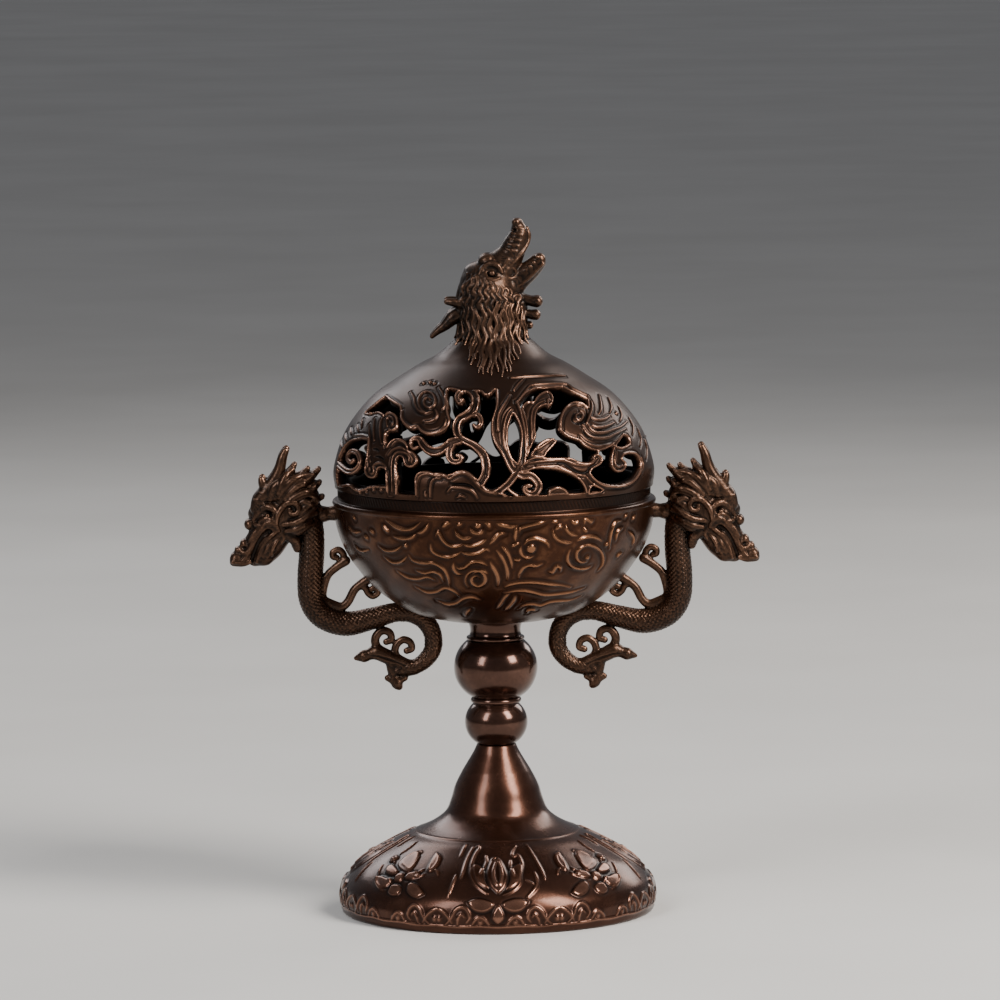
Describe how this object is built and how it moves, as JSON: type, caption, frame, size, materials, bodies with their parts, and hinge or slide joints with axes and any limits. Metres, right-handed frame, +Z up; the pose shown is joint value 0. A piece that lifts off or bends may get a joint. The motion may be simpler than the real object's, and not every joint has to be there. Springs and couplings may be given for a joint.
{
  "type": "incense burner",
  "caption": "Footed round incense burner with a bowl, two dragon handles and a pierced lift-off dome lid topped by a dragon head.",
  "frame": {"origin": "centre of the ring that the foot stands on, at floor level", "axes": "+Z up along the axis of the foot, bowl and lid; -Y the front; the dragon handles lie along -X and +X"},
  "size_m": [0.1138, 0.0698, 0.15],
  "materials": {
    "foot_bronze": "dark chocolate bronze, worn to copper on the raised lines",
    "stem_bronze": "polished dark bronze",
    "bowl_bronze": "warm brown bronze, worn to copper on the raised lines",
    "dragon_bronze": "dark bronze, copper on the scales and edges",
    "lid_bronze": "brown bronze, lighter on the raised edges, nearly black in the recesses",
    "holder_brass": "turned brass, dulled by ash",
    "fastener_steel": "plain zinc-plated steel",
    "mat_fibre": "pressed off-white mineral fibre"
  },
  "bodies": {
    "stand": {"foot": "foot_bronze", "stem_small_bead": "stem_bronze", "stem_large_bead": "stem_bronze", "stem_neck": "stem_bronze", "tie_rod": "fastener_steel", "tie_washer": "fastener_steel", "tie_nut": "fastener_steel", "bowl": "bowl_bronze", "heat_mat": "mat_fibre", "handle_screws": "fastener_steel", "dragon_handle_left": "dragon_bronze", "dragon_handle_right": "dragon_bronze"},
    "lid": {"lid": "lid_bronze", "finial_dragon": "dragon_bronze", "finial_washer": "fastener_steel", "finial_screw": "fastener_steel"},
    "holder": {"incense_holder": "holder_brass"}
  },
  "joints": [
    {"name": "lid_lift", "type": "slide", "parent": "stand", "child": "lid", "axis": [0, 0, 1], "range_m": [0, 0.06]},
    {"name": "holder_lift", "type": "slide", "parent": "stand", "child": "holder", "axis": [0, 0, 1], "range_m": [0, 0.028]}
  ]
}
